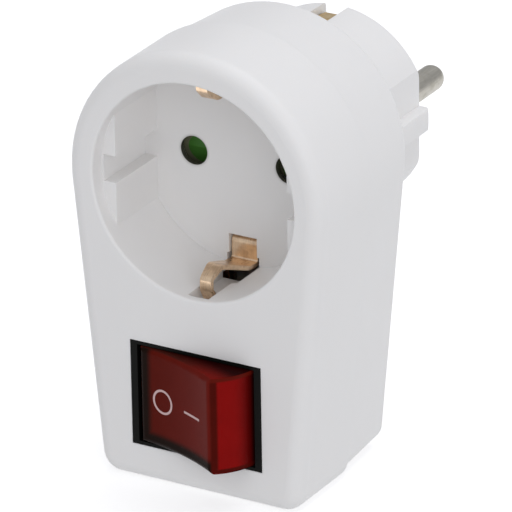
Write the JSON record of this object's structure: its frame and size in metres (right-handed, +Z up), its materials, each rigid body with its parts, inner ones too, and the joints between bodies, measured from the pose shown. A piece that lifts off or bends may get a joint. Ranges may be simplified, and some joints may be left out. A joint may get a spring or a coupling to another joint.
{
  "type": "switched socket adapter",
  "caption": "Plug-in mains adapter: round side-earthed socket well above a lit rocker switch, in a domed casing that tapers downwards, with a plug nose and pins behind.",
  "frame": {"origin": "midway between the two plug pins, on the end face of the plug nose", "axes": "+Z up the casing towards the domed end, +Y out along the plug pins, +X to the right of someone who faces the socket"},
  "size_m": [0.0506, 0.0768, 0.0823],
  "materials": {
    "casing": "moulded, fine satin",
    "carrier": "moulded",
    "shutter": "moulded, smooth",
    "pins": "nickel plated, slightly dull",
    "contacts": "rolled sheet",
    "clips": "rolled bronze sheet",
    "switch_frame": "moulded, smooth",
    "rocker": "clear red, polished",
    "plunger": "moulded",
    "lamp": "clear glass",
    "resistor": "lacquered",
    "screws": "zinc plated",
    "spring": "drawn wire"
  },
  "bodies": {
    "casing": {"case_screws": "screws", "contact_bar_left": "contacts", "contact_bar_right": "contacts", "contact_carrier": "carrier", "earth_clip_lower": "clips", "earth_clip_upper": "clips", "earth_rivets": "contacts", "earth_strap": "contacts", "front_cover": "casing", "lamp_resistor": "resistor", "line_terminal_lower": "contacts", "line_terminal_upper": "contacts", "load_terminal_lower": "contacts", "load_terminal_upper": "contacts", "neon_lamp": "lamp", "plug_bar_left": "contacts", "plug_bar_right": "contacts", "plug_earth_strip_lower": "pins", "plug_earth_strip_upper": "pins", "plug_pin_left": "pins", "plug_pin_right": "pins", "rear_housing": "casing", "shutter_spring": "spring", "socket_contact_left": "contacts", "socket_contact_right": "contacts", "switch_body": "switch_frame"},
    "rocker": {"rocker": "rocker", "plunger_upper": "plunger", "plunger_lower": "plunger", "plunger_spring_upper": "spring", "plunger_spring_lower": "spring"},
    "arm_upper": {"contact_arm_upper": "contacts"},
    "arm_lower": {"contact_arm_lower": "contacts"},
    "shutter": {"child_shutter": "shutter"}
  },
  "joints": [
    {"name": "rocker_rock", "type": "hinge", "parent": "casing", "child": "rocker", "pos_m": [0, -0.0484, -0.0387], "axis": [0, 0, 1], "range_deg": [0, 38]},
    {"name": "arm_upper_rock", "type": "hinge", "parent": "casing", "child": "arm_upper", "pos_m": [0, -0.04011, -0.0341], "axis": [0, 0, 1], "range_deg": [-14, 0]},
    {"name": "arm_lower_rock", "type": "hinge", "parent": "casing", "child": "arm_lower", "pos_m": [0, -0.04011, -0.0433], "axis": [0, 0, 1], "range_deg": [-14, 0]},
    {"name": "shutter_turn", "type": "hinge", "parent": "casing", "child": "shutter", "pos_m": [0, -0.0306, 0.0012], "axis": [0, 1, 0], "range_deg": [0, 37], "stiffness_Nm_per_rad": 0.002, "springref_deg": -20.05, "deforming": ["shutter_spring"]}
  ],
  "couplings": [
    {"joint": "arm_upper_rock", "follows": "rocker_rock", "ratio": -0.3684},
    {"joint": "arm_lower_rock", "follows": "rocker_rock", "ratio": -0.3684}
  ]
}
